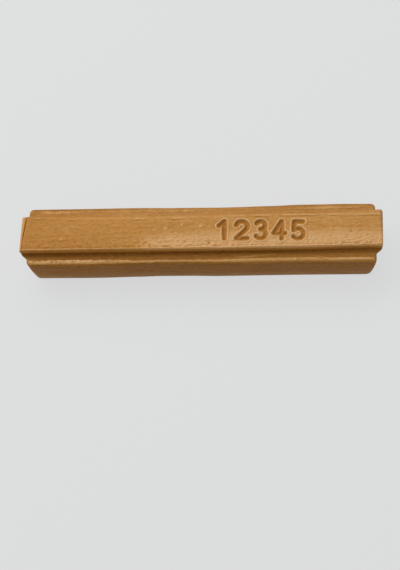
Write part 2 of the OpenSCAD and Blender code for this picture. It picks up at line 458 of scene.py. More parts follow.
# %% Measure the distance to a stroke
DIGIT_RUN = 2.45
DIGIT_RISE = 4.15


def at(x_share, y_share):
    """A point of a digit, from shares of its run and rise about its middle."""
    return Vector((x_share * DIGIT_RUN, y_share * DIGIT_RISE))


def spoke(centre, radius, angle):
    """The point of an arc at an angle in degrees."""
    return centre + radius * Vector((math.cos(math.radians(angle)), math.sin(math.radians(angle))))


def to_arc(point, centre, radius, start, end):
    """Distance from a point to a round stroke between two angles in degrees."""
    out = point - centre
    turned = (math.degrees(math.atan2(out.y, out.x)) - start) % 360
    if turned <= end - start:
        return abs(out.length - radius)
    return min((point - spoke(centre, radius, angle)).length for angle in (start, end))


print(f"the middle of a digit is {to_line(at(0, 0), at(0.5, -0.5), at(0.5, 0.5)):.2f} mm from its right side")

# %% Draw the digits as strokes
def digit_one(point):
    top = at(0.12, 0.5)
    return min(to_line(point, at(0.12, -0.5), top), to_line(point, top, at(-0.36, 0.24)))


def digit_two(point):
    radius = DIGIT_RUN / 2
    centre = at(0, 0.5) - Vector((0, radius))
    turn = -38
    foot = at(-0.5, -0.5)
    return min(
        to_arc(point, centre, radius, turn, 165),
        to_line(point, spoke(centre, radius, turn), foot),
        to_line(point, foot, at(0.5, -0.5)),
    )


def digit_three(point):
    upper_share = 0.235
    upper = upper_share * DIGIT_RISE
    lower = DIGIT_RISE / 2 - upper
    return min(
        to_arc(point, at(0, 0.5) - Vector((0, upper)), upper, -90, 150),
        to_arc(point, at(0, -0.5) + Vector((0, lower)), lower, -150, 90),
    )


def digit_four(point):
    top = at(0.2, 0.5)
    elbow = at(-0.5, -0.2)
    return min(
        to_line(point, top, elbow),
        to_line(point, elbow, at(0.5, -0.2)),
        to_line(point, top, at(0.2, -0.5)),
    )


def digit_five(point):
    radius_share = 0.29
    radius = radius_share * DIGIT_RISE
    centre = at(-0.03, -0.5) + Vector((0, radius))
    turn = 138
    shoulder = at(-0.34, 0.5)
    return min(
        to_line(point, at(0.4, 0.5), shoulder),
        to_line(point, shoulder, spoke(centre, radius, turn)),
        to_arc(point, centre, radius, -145, turn),
    )


DIGITS = (digit_one, digit_two, digit_three, digit_four, digit_five)
print(f"{len(DIGITS)} digits")

# %% Press the row of digits
DIGIT_PITCH = 4.13
NUMBER_X = 13.4
NUMBER_DROP = 0.02
NUMBER_SLOPE = 0.022
STROKE_HALF = 0.55
STROKE_DEPTH = 0.4
STROKE_WALL = 2.2
LIP_HEIGHT = 0.19
LIP_OUT = 0.22
LIP_WIDTH = 0.1
NUMBER_REACH = 1.2


def pressed(distance):
    """Depth of the groove and height of the raised lip at a distance from a stroke."""
    lip = LIP_HEIGHT * hill(distance - STROKE_HALF - LIP_OUT, LIP_WIDTH)
    depth = STROKE_DEPTH * max(1 - (distance / STROKE_HALF) ** STROKE_WALL, 0)
    return depth, lip


def number_relief(x, y):
    """Depth of the groove and height of the lip at a place in or near the row of digits."""
    middle = len(DIGITS) // 2
    slot = round((x - NUMBER_X) / DIGIT_PITCH)
    run = x - NUMBER_X
    point = Vector((run, y - slab_y + NUMBER_DROP + NUMBER_SLOPE * run))
    slots = [near for near in (slot - 1, slot, slot + 1) if abs(near) <= middle]
    if not slots or abs(point.y) > DIGIT_RISE / 2 + NUMBER_REACH:
        return 0, 0
    return pressed(min(DIGITS[middle + near](point - Vector((near * DIGIT_PITCH, 0))) for near in slots))


print(f"a groove is {pressed(0)[0]:.2f} mm deep")

# %% [markdown]
# ## The split at the left end
# The slab's left end has cracked, and a thin sliver of wax stands off it. The crack gapes most near the
# back and closes towards both sides. One function says where the split runs, and both the slab and the
# sliver are shaped to it, so they can't drift apart.

# %% Say where the split runs
SLIVER_BACK = 1.25
SLIVER_FRONT = 0.45
CRACK_WIDTH = 0.18
CRACK_ENDS = 0.05
SPLIT_WAVE = Ripple(0.05, 1, 2.5, 5)
SPLIT_CURVE = 1.7


def across_slab(y):
    """A place across the slab, from 0 at its front to 1 at its back."""
    return min(max((y - slab_low.y) / (slab_high.y - slab_low.y), 0), 1)


def split_x(y):
    """Where the sliver ends and the crack starts."""
    share = across_slab(y)
    thickness = SLIVER_FRONT + (SLIVER_BACK - SLIVER_FRONT) * share ** SPLIT_CURVE
    return bar_low.x + thickness + ripple(0, y, SPLIT_WAVE)


def crack_width(y, z):
    """Width of the crack, which gapes most near the back and closes towards both sides and the seam."""
    gape = math.sin(math.pi * across_slab(y) ** 2)
    return ease(seam_z, top_z, z) * (CRACK_ENDS + (CRACK_WIDTH - CRACK_ENDS) * gape)


print(f"the crack is {crack_width(slab_y, top_z):.2f} mm wide at the middle")

# %% [markdown]
# ## The top of the slab
# The top cooled in the open, so it shows how the wax flowed: long, faint streaks, a few pits where
# bubbles burst, small bumps, and pebbly patches near the front edge. Each is a small height that is
# added to a flat top. The edge of the punch block left two faint lines beside the row of digits.

# %% List the marks on the top
BLOCK_LINES = (-0.5, 23.4)
# Stops of (x, radius) of the back edge, and of (x, share) of the pebbly patches
BACK_ROUNDS = ((-38, 0.6), (-26, 1.1), (-8, 1.2), (0, 1.1), (11, 0.7), (38, 0.9))
ROUGH_STRETCHES = ((-38, 0.2), (-20, 0.3), (-9, 0.8), (2, 1), (6, 0.5), (24, 0.5), (30, 1), (38, 0.8))
# Each pit and bump has its x, its y, its radius, and its depth or rise
PITS = (
    (2.1, -2.8, 0.32, 0.24),
    (-3.2, -2.6, 0.22, 0.16),
    (33.2, -0.8, 0.22, 0.14),
    (36.7, -1.8, 0.24, 0.16),
    (1.4, -1.1, 0.2, 0.1),
    (-24.8, -3.0, 0.25, 0.14),
    (-19.5, -2.8, 0.22, 0.12),
    (-9.8, 2.2, 0.22, 0.12),
)
BUMPS = (
    (-7.5, 0.5, 0.28, 0.22),
    (0.2, 1.0, 0.28, 0.22),
    (-4.0, 1.5, 0.25, 0.16),
    (-30.8, -1.8, 0.28, 0.14),
    (-10.2, 0.3, 0.22, 0.1),
    (-24.6, 1.6, 0.2, 0.1),
    (-28.3, 1.3, 0.22, 0.08),
    (-19.1, 1.5, 0.2, 0.08),
)
print(f"{len(PITS)} pits and {len(BUMPS)} bumps")

# %% Sum up the height of the top
# Broad waves, streaks, fine streaks and specks
TOP_RIPPLES = (
    Ripple(0.08, 16, 5, 1),
    Ripple(0.024, 16, 0.5, 2),
    Ripple(0.01, 8, 0.26, 3),
    Ripple(0.035, 0.9, 0.35, 9),
)
PEBBLES = Ripple(1, 0.6, 0.45, 5)
PEBBLE_HEIGHT = 0.17
PEBBLE_FADE = (0.5, 4)
PEBBLE_PAINTED_LIGHT = 0.8
BLOCK_LINE = 0.08
BLOCK_LINE_WIDTH = 0.12
EDGE_LUMPS = Ripple(0.4, 0.8, 3, 6)
EDGE_BREAKS = Ripple(1, 2.5, 1, 15)
BREAK_BLEND = 0.3
DIGIT_LIP_PATCHES = Ripple(0.7, 1.3, 1.1, 11)
FRONT_LIP = 0.2
FRONT_LIP_IN = 0.3
FRONT_LIP_WIDTH = 0.12
BACK_LIP = 0.12
BACK_LIP_WIDTH = 0.15
BACK_LIP_WANDER = Ripple(0.12, 3, 1, 13)
CREASE = 0.08
CREASE_IN = 0.36
CREASE_WIDTH = 0.16


def top_relief(x, y):
    """Height of the slab's top above its plane, and its value of worn wax and painted light and shade: -1
    deep in a digit, and 2 on a digit's lip.
    """
    height = sum(ripple(x, y, kind) for kind in TOP_RIPPLES)
    front_in = y - slab_low.y - between(SLAB_FRONT, x)
    rough = between(ROUGH_STRETCHES, x) * (1 - ease(*PEBBLE_FADE, front_in))
    pebbles = rough * ripple(x, y, PEBBLES)
    height += PEBBLE_HEIGHT * pebbles
    height += sum(BLOCK_LINE * hill(x - line, BLOCK_LINE_WIDTH) for line in BLOCK_LINES)
    lumps = patchy(x, y, EDGE_LUMPS)
    broken = lumps * ease(-BREAK_BLEND, BREAK_BLEND, ripple(x, 0, EDGE_BREAKS))
    front_edge = front_in - FRONT_LIP_IN
    back_edge = slab_high.y - y - between(BACK_ROUNDS, x) + ripple(x, 0, BACK_LIP_WANDER)
    groove, lip = number_relief(x, y)
    lip *= patchy(x, y, DIGIT_LIP_PATCHES)
    glint = min(lip / LIP_HEIGHT, 1)
    lip += lumps * FRONT_LIP * hill(front_edge, FRONT_LIP_WIDTH)
    lip += broken * BACK_LIP * hill(back_edge, BACK_LIP_WIDTH)
    lip += sum(rise * mound(x, y, px, py, radius) for px, py, radius, rise in BUMPS)
    groove += sum(depth * mound(x, y, px, py, radius) for px, py, radius, depth in PITS)
    groove += CREASE * lumps * hill(front_edge - CREASE_IN, CREASE_WIDTH)
    groove += CREASE * broken * hill(back_edge - CREASE_IN, CREASE_WIDTH)
    # Painted light and shade: lips, bumps, the edge lips and pebble tops are painted paler as highlights,
    # with a painted glint on digit lips; grooves, pits, creases and pebble hollows are painted deeper as
    # shade.
    wear_and_painted_light = lip / LIP_HEIGHT - groove / STROKE_DEPTH + PEBBLE_PAINTED_LIGHT * pebbles
    return height + lip - groove, min(max(wear_and_painted_light, -1), 1) + glint


print(f"the first bump stands {top_relief(*BUMPS[0][:2])[0]:.3f} mm above the top's plane")

# %% [markdown]
# ## The wax slab
# The slab is the upper pour. It gets the smallest cells under the digits, and wider ones elsewhere.
# Its foot goes a little into the bar, as wax that has fused, so that no gap shows along the seam.
# Its back edge is rounder than its front one, most of all a little left of the middle.

# %% Shape the wax slab
SLAB_SINK = 0.3
SLAB_LEAN = 0.06
FRONT_ROUND = 0.3
BACK_FLARE = 0.7
RIGHT_SKEW = 0.2
BROKEN_ROUND = 0.12
RIGHT_BACK_CORNER = 0.7
RIGHT_FRONT_CORNER = 0.4
FOOT_ROUND = 0.3
SPLIT_BLEND = 4
SIDE_WAVE = Ripple(0.04, 9, 3, 7)
SIDE_STREAK = Ripple(0.02, 6, 0.6, 8)
SIDE_PAINTED_LIGHT = 0.1
LEFT_END_LEAN = 0.35
RIGHT_END_LEAN = 0.1
slab_box_low = Vector((bar_low.x + SLIVER_BACK, slab_low.y, seam_z - SLAB_SINK))
slab_box_high = Vector((bar_high.x, slab_high.y, top_z))


def slab_point(co):
    """Where a point of the plain box lies on the wax slab, and its value of worn wax and painted light and
    shade there.
    """
    x, y, z = co
    left = 1 - ease(0, SPLIT_BLEND, x - slab_box_low.x)
    back = ease(-slab_half_y, slab_half_y, y - slab_y)
    top_round = FRONT_ROUND + back * (between(BACK_ROUNDS, x) - FRONT_ROUND)
    if x - slab_box_low.x < top_round:
        top_round = BROKEN_ROUND
    corner = RIGHT_BACK_CORNER if y > slab_y else RIGHT_FRONT_CORNER
    if x < 0:
        corner = BROKEN_ROUND
    soft = soften(co, slab_box_low, slab_box_high, corner, top_round, FOOT_ROUND)
    rise = ease(seam_z, top_z, soft.z)
    soft.y -= math.copysign(SLAB_LEAN * rise * abs(soft.y - slab_y) / slab_half_y, soft.y - slab_y)
    soft.x += left * (split_x(y) + crack_width(y, z) - slab_box_low.x)
    right = ease(slab_box_high.x - SPLIT_BLEND, slab_box_high.x, x)
    soft.x += (1 - rise) * (LEFT_END_LEAN * left - RIGHT_END_LEAN * right)
    soft.y += between(SLAB_FRONT, x) * (1 - across_slab(y)) ** 2
    right_end = ease(slab_box_high.x / 2, slab_box_high.x, x)
    soft.x += RIGHT_SKEW * right_end * across_slab(y)
    soft.y += BACK_FLARE * right_end ** 2 * across_slab(y) ** 4
    depth = min(slab_box_high.x - x, y - slab_low.y, slab_high.y - y)
    wear_and_painted_light = 0
    if z > top_z - TINY:
        height, wear_and_painted_light = top_relief(soft.x, soft.y)
        soft.z += ease(0, FRONT_ROUND, depth) * height
    elif depth < TINY:
        soft.y += ripple(x, z, SIDE_WAVE) + ripple(x, z, SIDE_STREAK)
        # Painted light: the front wall is painted paler towards its top.
        wear_and_painted_light = SIDE_PAINTED_LIGHT * ease(seam_z + SLAB_SINK, top_z, z) if y < slab_y else 0
    return soft, wear_and_painted_light


print(f"the slab's right end lies at {slab_point(slab_box_high)[0].x:.1f} mm")

# %% Make the wax slab
SLAB_CELL = 0.18
NUMBER_CELL = 0.085
SIDE_CELL = 0.2
EDGE_CELL = 0.07
number_half = (len(DIGITS) / 2) * DIGIT_PITCH + NUMBER_REACH

slab_bm = box_of_cells(
    [
        slab_box_low.x,
        (NUMBER_X - number_half, SLAB_CELL),
        (NUMBER_X + number_half, NUMBER_CELL),
        (slab_box_high.x, SLAB_CELL),
    ],
    [slab_low.y, (slab_low.y + FRONT_ROUND, EDGE_CELL), (slab_high.y, NUMBER_CELL)],
    [slab_box_low.z, (seam_z, ROUND_CELL), (top_z - FRONT_ROUND, SIDE_CELL), (top_z, EDGE_CELL)],
)
slab_wear_and_light = slab_bm.verts.layers.float.new(WEAR_AND_PAINTED_LIGHT)
for vert in slab_bm.verts:
    vert.co, vert[slab_wear_and_light] = slab_point(vert.co)
wax_slab = finish_piece(slab_bm, "wax_slab", "upper_slab")

# %% [markdown]
# ## The split sliver
# The sliver is a thin leaf of the same wax. It is cut from a narrow box whose right face follows the
# split, and whose top lies a little lower than the slab's, because it has bent away.

# %% Make the split sliver
SLIVER_DROP = 0.15
SLIVER_TILT = 0.12
SLIVER_SKEW = 0.2
SLIVER_CELL = 0.12
SLIVER_ROUND = 0.16
SLIVER_PAINTED_LIGHT = 0.8
SLIVER_STREAK = Ripple(0.024, 0.6, 1.5, 9)
sliver_low = Vector((bar_low.x, slab_low.y, seam_z - SLAB_SINK))
sliver_high = Vector((bar_low.x + SLIVER_BACK, slab_high.y, top_z - SLIVER_DROP))


def sliver_point(co):
    """Where a point of the plain box lies on the sliver, and how much painted light it gets there, most at
    its outer top edge.
    """
    soft = soften(co, sliver_low, sliver_high, SLIVER_ROUND, SLIVER_ROUND, FOOT_ROUND)
    share = (soft.x - sliver_low.x) / (sliver_high.x - sliver_low.x)
    rise = ease(seam_z, top_z, soft.z)
    left_x = sliver_low.x + SLIVER_SKEW * across_slab(co.y)
    soft.x = left_x + share * (split_x(co.y) - left_x) + LEFT_END_LEAN * (1 - rise)
    soft.y -= math.copysign(SLAB_LEAN * rise * abs(soft.y - slab_y) / slab_half_y, soft.y - slab_y)
    soft.z += rise * (ripple(soft.x, soft.y, SLIVER_STREAK) - SLIVER_TILT * (1 - share))
    return soft, SLIVER_PAINTED_LIGHT * rise * (1 - share)


sliver_bm = box_of_cells(
    [sliver_low.x, (sliver_high.x, SLIVER_CELL)],
    [sliver_low.y, (sliver_high.y, SLIVER_CELL)],
    [sliver_low.z, (sliver_high.z, SLIVER_CELL)],
)
sliver_wear_and_light = sliver_bm.verts.layers.float.new(WEAR_AND_PAINTED_LIGHT)
for vert in sliver_bm.verts:
    vert.co, vert[sliver_wear_and_light] = sliver_point(vert.co)
split_sliver = finish_piece(sliver_bm, "split_sliver", "left_end_sliver")

# %% [markdown]
# ## Flash along the rims
# Where the two halves of the mould met, a skin of wax squeezed out and lies along the rim of each ledge.
# It is thick and ragged at the left of the front rim, thin in the middle, and folded over on the right.
# A flat ribbon would look like tape, so each skin is a box of cells with a changing width and height.

# %% List the widths and heights of the flash
# Stops of (x, width) and (x, height) along each rim
FRONT_FLASH_WIDTHS = (
    (-38, 0.95), (-30, 1.05), (-20, 0.95), (-14, 0.6), (-4, 0.55), (6, 0.65),
    (9, 0.8), (16, 0.85), (22, 0.8), (26, 0.8), (29, 0.7), (38, 0.75),
)
FRONT_FLASH_HEIGHTS = (
    (-38, 0.26), (-24, 0.28), (-15, 0.2), (-4, 0.24), (5.4, 0.18), (6, 0.38), (6.6, 0.18),
    (20.4, 0.18), (21, 0.4), (21.6, 0.18), (26, 0.24), (33, 0.32), (38, 0.28),
)
BACK_FLASH_WIDTHS = ((-38, 0.6), (-34, 0.8), (-28, 0.7), (-8, 0.8), (2, 0.65), (24, 0.85), (38, 0.6))
BACK_FLASH_HEIGHTS = (
    (-38, 0.04), (-34, 0.1), (-30, 0.1), (-26, 0.06), (-12, 0.08), (-4, 0.1),
    (4, 0.05), (16, 0.06), (26, 0.11), (34, 0.11), (38, 0.05),
)
# A rim has its side in Y, the flash's setback from its edge, the curve of its crest and the x of its fold
Rim = namedtuple("Rim", "side setback crest fold widths heights")
FRONT_FLASH = Rim(-1, 0.28, 1.2, 26.9, FRONT_FLASH_WIDTHS, FRONT_FLASH_HEIGHTS)
BACK_FLASH = Rim(1, 0.65, 1.0, 10.0, BACK_FLASH_WIDTHS, BACK_FLASH_HEIGHTS)
print(f"the front flash is folded at {FRONT_FLASH.fold} mm")

# %% Shape a skin of flash
FLASH_SINK = 0.3
FLASH_TUCK = 0.03
WIDTH_RAG = Ripple(0.05, 0.9, 1, 10)
EDGE_RAGS = (Ripple(0.05, 0.8, 3, 12), Ripple(0.05, 3, 3, 14))
CRUMBS = (Ripple(0.4, 0.9, 0.5, 16), Ripple(0.4, 0.45, 0.35, 18))
# Crests this high get a full painted highlight, and higher ones a painted glint up to a cap.
CREST_HEIGHT = 0.24
CREST_MOST_HIGHLIGHT = 1.3
FLAT_CROWN = 0.6
FOLD_SLANT = 2.4
FOLD_WIDTH = 0.35
# Stops of (x, lumpiness) along both rims
FLASH_LUMPS = ((-38, 2.2), (-14, 1.8), (4, 1.2), (16, 1), (27, 0.5), (38, 0.4))


def corner_inset(x, side):
    """How far the round corner of a rim lies inside its straight stretch at x."""
    radius = rim_corner(x, side)
    over = min(max(abs(x) - rim_x + radius, 0), radius)
    return radius - math.sqrt(radius ** 2 - over ** 2)


def flash_point(co, rim):
    """Where a point of a plain ribbon lies on the flash of a rim, and how much painted highlight it gets
    there, with a painted glint on its highest crests.
    """
    x, share, rise = co
    side = rim.side
    width = between(rim.widths, x) * (1 + ripple(x, 0, WIDTH_RAG, side))
    rag = sum(ripple(x, share, kind, side) for kind in EDGE_RAGS)
    y = side * (bar_high.y - rim.setback - corner_inset(x, side) - share * width + rag)
    crown = max(math.sin(math.pi * min(max(share, 0), 1) ** rim.crest), 0) ** FLAT_CROWN
    crown *= 1 - hill(x - rim.fold + FOLD_SLANT * (share - 0.5), FOLD_WIDTH)
    lumps = 1 + between(FLASH_LUMPS, x) * sum(ripple(x, share, kind, side) for kind in CRUMBS)
    end = ease(rim_x, rim_x - END_OVERHANG, abs(x))
    height = between(rim.heights, x) * crown * max(lumps, 0) * end
    ledge = seam_z + ledge_height(slab_gap(x, y)) - FLASH_TUCK
    place = Vector((x, y + rim_shift(x, y), ledge - FLASH_SINK + rise * (FLASH_SINK + height)))
    return place, rise * min(height / CREST_HEIGHT, CREST_MOST_HIGHLIGHT)


print(f"a rim's corner sets the flash back by {corner_inset(rim_x, -1):.1f} mm")

# %% Make both skins of flash
FLASH_CELL = 0.12
FLASH_CELLS_ACROSS = 10


def flash_skin(name, node, rim):
    """Makes the flash of one rim."""
    reach = rim_x - RIM_RIGHT_CORNER / 2
    bm = box_of_cells(
        [-reach, (reach, FLASH_CELL)],
        [0, (1, 1 / FLASH_CELLS_ACROSS)],
        [0, (1, 1)],
    )
    wear_and_painted_light = bm.verts.layers.float.new(WEAR_AND_PAINTED_LIGHT)
    for vert in bm.verts:
        vert.co, vert[wear_and_painted_light] = flash_point(vert.co, rim)
    return finish_piece(bm, name, node)


front_rim_flash = flash_skin("front_rim_flash", "front_flash", FRONT_FLASH)
back_rim_flash = flash_skin("back_rim_flash", "back_flash", BACK_FLASH)

# %% [markdown]
# ## Shader maths as sums
# A finish is a tree of nodes, and sums of many nodes are hard to read. So one small class stands for a
# value in the tree. Adding or multiplying such values adds Math nodes, and one method adds any other node.

# %% Let Python expressions add shader nodes
class Term:
    """A value in a material's node tree."""

    def __init__(self, tree, socket=None):
        self.tree = tree
        self.socket = socket

    def node(self, kind, settings=(), inputs=(), output=0):
        """Adds a node of any kind: first its settings, then the values or links of its sockets."""
        made = self.tree.nodes.new(kind)
        for name, value in dict(settings).items():
            setattr(made, name, value)
        for name, value in dict(inputs).items():
            self.feed(made.inputs[name], value)
        return Term(self.tree, made.outputs[output])

    def feed(self, socket, value):
        """Links a term to a socket, or sets a plain value on it."""
        if isinstance(value, Term):
            self.tree.links.new(value.socket, socket)
        else:
            socket.default_value = value

    def sum(self, operation, first, second):
        """Adds a Math node."""
        return self.node("ShaderNodeMath", {"operation": operation}, {0: first, 1: second})

    def __add__(self, other):
        return self.sum("ADD", self, other)

    def __radd__(self, other):
        return self.sum("ADD", other, self)

    def __sub__(self, other):
        return self.sum("SUBTRACT", self, other)

    def __rsub__(self, other):
        return self.sum("SUBTRACT", other, self)

    def __mul__(self, other):
        return self.sum("MULTIPLY", self, other)

    def __rmul__(self, other):
        return self.sum("MULTIPLY", other, self)


print("terms can be added, subtracted and multiplied")

# %% Add noise, blends and colour mixes
PER_MM = 1 / MM


def noise_term(place, waves, detail=3.0, roughness=0.55):
    """Noise from about 0 to 1 with so many waves for each millimetre along X, Y and Z."""
    scale = [PER_MM * wave for wave in waves]
    scaled = place.node("ShaderNodeMapping", {}, {"Vector": place, "Scale": scale})
    settings = {"Vector": scaled, "Scale": 1.0, "Detail": detail, "Roughness": roughness}
    return place.node("ShaderNodeTexNoise", {}, settings)


def stretch(term, low, high):
    """Takes low to 0 and high to 1, and holds what lies beyond."""
    inputs = {"Value": term, "From Min": low, "From Max": high}
    return term.node("ShaderNodeMapRange", {"interpolation_type": "SMOOTHSTEP"}, inputs)


def held(term):
    """Holds a value between 0 and 1."""
    return term.node("ShaderNodeClamp", {}, {"Value": term})


def blend(factor, first, second):
    """Mixes two colours, each a term or a plain colour."""
    return factor.node("ShaderNodeMix", {"data_type": "RGBA"}, {0: factor, 6: first, 7: second}, 2)


print("noise, blends and mixes are ready")

# %% [markdown]
# ## The wax finish
# Pigmented wax is a dull tan that lets a little light in, so its shadows are warm and soft. Its colour runs
# in long streaks where the pour didn't mix, with paler clouds, and its sheen is uneven.
# A wood texture would be close, but its lines are too regular, so stretched noise does it.
# Each finish also has a tone, which says where its wax is deeper and where it is paler. Much of it is painted
# shade and light: shade in creases, on the front ledge and on walls, light on the back ledge, on the top's
# front strip and at the foot of the walls.
# A tone sets in between two places, counted in millimetres along an axis or from an edge.

# %% Say where the slab is deeper and paler
FRONT_STRIP = (0.5, 5.5)
WALL_SKIN = (0.2, 0.5)
WALL_FOOT = (0.5, 1.5)
BACK_EDGE = (-0.7, -0.2)
TOP_SKIN = (-0.4, -0.1)
LEFT_END = (-40.0, -18.0)
LEFT_HALF = (-20.0, -8.0)
FRONT_SHEEN_SPAN = (-16.0, -4.0)
BRIGHT_TOP = (-28.0, 10.0)
LEFT_END_DEEP = 0.16
LEFT_FRONT_DEEP = 0.12
BACK_EDGE_SHADE_DEEP = 0.15
WALL_FOOT_SHADE_DEEP = 0.5
FRONT_SHEEN_PALE = 0.5
TOP_PALE = 0.13


def part_of(place, axis):
    """One coordinate of a place, in millimetres."""
    return place.node("ShaderNodeSeparateXYZ", {}, {0: place}, axis) * PER_MM


def past(term, edge, span):
    """Goes from 0 to 1 over a span that is counted from an edge."""
    return stretch(term, edge + span[0], edge + span[1])


def slab_tone(place):
    """Deeper at the left, with painted shade at the front wall's foot and along the back edge. Paler to the
    right, with a painted sheen on the top's front strip.
    """
    x = part_of(place, "X")
    y = part_of(place, "Y")
    z = part_of(place, "Z")
    front = 1 - past(y, slab_low.y, FRONT_STRIP)
    top = past(z, top_z, TOP_SKIN)
    # Painted shade along the back edge
    back = past(y, slab_high.y, BACK_EDGE)
    # Painted shade at the front wall's foot, by the ledge
    foot = (1 - past(y, slab_low.y, WALL_SKIN)) * (1 - past(z, seam_z, WALL_FOOT))
    left_front = front * (1 - stretch(x, *LEFT_HALF))
    # Painted sheen on the top's front strip, and paler towards the right
    paler = front * stretch(x, *FRONT_SHEEN_SPAN) * FRONT_SHEEN_PALE + stretch(x, *BRIGHT_TOP) * TOP_PALE
    deeper = (1 - stretch(x, *LEFT_END)) * LEFT_END_DEEP + back * BACK_EDGE_SHADE_DEEP
    deeper = deeper + foot * WALL_FOOT_SHADE_DEEP + left_front * LEFT_FRONT_DEEP
    return deeper, top * paler


print(f"the slab's front strip is pale from x = {FRONT_SHEEN_SPAN[1]:.0f} mm on")

# %% Say where the bar and the flash are deeper and paler
LEDGE_SKIN = (-0.5, -0.2)
FRONT_LEDGE = (-0.5, -0.1)
INNER_STRIP = (0.35, 1.1)
RIM_STRIP = (1.7, 2.1)
BACK_LEDGE = (0.0, 0.4)
BACK_RIM_STRIP = (-0.6, -0.2)
INNER_END = (10.0, 30.0)
OUTER_END = (0.0, 24.0)
RIM_END = (-20.0, 0.0)
BACK_START = (-36.0, -14.0)
BOUNCE_FOOT = (0.5, 4.0)
INNER_FADE = 0.4
INNER_SHADE_DEEP = 0.65
OUTER_SHADE_DEEP = 0.25
FRONT_RIM_DEEP = 0.2
BACK_RIM_DEEP = 0.4
BACK_FLASH_DEEP = 0.35
WALL_SHADE_DEEP = 0.16
WALL_LINE_DEEP = 0.16
WALL_TOP_SHADE_DEEP = 0.3
BACK_LEDGE_LIT_PALE = 0.16
FOOT_BOUNCE_PALE = 0.25
WALL_WAVES = (0.12, 2.0, 2.0)
WALL_LINES = (0.3, 0.7)
FLASH_MIDDLE = (-1.0, 1.0)


def bar_tone(place):
    """Painted shade on the walls, darker towards their top, and on the front ledge, most by the slab; deeper
    on the rims. Painted light on the back ledge, and painted bounce light at the foot.
    """
    x = part_of(place, "X")
    y = part_of(place, "Y")
    z = part_of(place, "Z")
    out = slab_low.y - y
    ledge = past(z, seam_z, LEDGE_SKIN)
    # Painted shade on the front ledge: darkest by the slab, lighter towards the rim
    front = ledge * stretch(out, *FRONT_LEDGE)
    inner = front * (1 - stretch(out, *INNER_STRIP)) * (1 - stretch(x, *INNER_END) * INNER_FADE)
    outer = front * stretch(out, *INNER_STRIP) * (1 - stretch(x, *OUTER_END))
    front_rim = ledge * stretch(out, *RIM_STRIP) * (1 - stretch(x, *RIM_END))
    # Painted light on the back ledge
    back = ledge * past(y, slab_high.y, BACK_LEDGE) * stretch(x, *BACK_START)
    back_rim = past(y, bar_high.y, BACK_RIM_STRIP)
    lines = stretch(noise_term(place, WALL_WAVES), *WALL_LINES)
    # Painted shade on the walls, darker towards their top, with real streaks of deeper wax
    wall = (1 - ledge) * (stretch(z, 0.0, seam_z) * WALL_TOP_SHADE_DEEP + lines * WALL_LINE_DEEP + WALL_SHADE_DEEP)
    deeper = inner * INNER_SHADE_DEEP + outer * OUTER_SHADE_DEEP + front_rim * FRONT_RIM_DEEP
    deeper = deeper + back_rim * BACK_RIM_DEEP + wall
    # Painted bounce light at the foot of every wall
    return deeper, back * BACK_LEDGE_LIT_PALE + (1 - stretch(z, *BOUNCE_FOOT)) * FOOT_BOUNCE_PALE


def flash_tone(place):
    """Deeper along the back rim."""
    return stretch(part_of(place, "Y"), *FLASH_MIDDLE) * BACK_FLASH_DEEP, 0.0


print(f"the front ledge is deepest up to {INNER_STRIP[0]} mm from the slab")

# %% Spread streaks, clouds and flecks
# Waves for each millimetre along X, Y and Z
STREAK_WAVES = (0.07, 1.5, 1.5)
THREAD_WAVES = (0.25, 4.5, 4.5)
CLOUD_WAVES = (0.12, 0.3, 0.3)
GRAIN_WAVES = (1.6, 2.4, 2.4)
FLECK_WAVES = (1.1, 1.6, 1.6)
THREAD_DETAIL = 2.0
Patterns = namedtuple("Patterns", "streaks threads clouds grain flecks")


def wax_patterns(place):
    """The noises that the wax's colour, sheen and bumps are made of."""
    return Patterns(
        noise_term(place, STREAK_WAVES),
        noise_term(place, THREAD_WAVES, THREAD_DETAIL),
        noise_term(place, CLOUD_WAVES),
        noise_term(place, GRAIN_WAVES),
        noise_term(place, FLECK_WAVES),
    )


print(f"the wax has {len(Patterns._fields)} patterns")

# %% Mix the wax's colour
PALE_FLECKS = (0.5, 0.72)
DEEP_FLECKS = (0.3, 0.6)
DEEP_STREAKS = (0.35, 0.68)
PALE_CLOUDS = (0.22, 0.7)
FLECK_PALE = 0.08
FLECK_DEEP = 0.28
STREAK_DEEP = 0.22
STREAK_SHARE = 0.65
CLOUD_SHARE = 0.4
MOST_PALE = 0.8
# Colour of the painted glints on digit lips and flash crests
GLINT_TONE = (0.92, 0.61, 0.33, 1)


def wax_colour(shades, patterns, deeper, paler, wear_and_painted_light):
    """Tan wax with deeper streaks and flecks, paler clouds and flecks, and painted glints where the layer of
    worn wax and painted light passes 1.
    """
    tan, deep, pale = [shade + (1,) for shade in shades]
    paler = stretch(patterns.flecks, *PALE_FLECKS) * FLECK_PALE + paler
    deeper = (1 - stretch(patterns.flecks, *DEEP_FLECKS)) * FLECK_DEEP + deeper
    lines = patterns.streaks * STREAK_SHARE + patterns.threads * (1 - STREAK_SHARE)
    deeper = stretch(lines, *DEEP_STREAKS) * STREAK_DEEP + deeper
    paler = stretch(patterns.clouds * CLOUD_SHARE + paler, *PALE_CLOUDS) * MOST_PALE
    colour = blend(paler, blend(deeper, tan, deep), pale)
    return blend(held(wear_and_painted_light - 1), colour, GLINT_TONE)


print(f"clouds and wear take at most {MOST_PALE:.0%} of the way to the pale shade")

# %% Make the wax finishes
WAX_ROUGHNESS = 0.46
WAX_GLOSS = 0.14
GLOSS_GAIN = 0.3
WORN_AND_LIT_PALE = 0.6
PRESSED_SHADE_DEEP = 0.45
DEEP_DULL = 0.3
ROUGHNESS_SWING = 0.16
GRAIN_SHARE = 0.7
BUMP_DISTANCE = 0.12 * MM
BUMP_STRENGTH = 1.0
GLOW = 0.12
GLOW_DEPTH = 0.5 * MM
GLOW_RADII = (1.0, 0.45, 0.18)
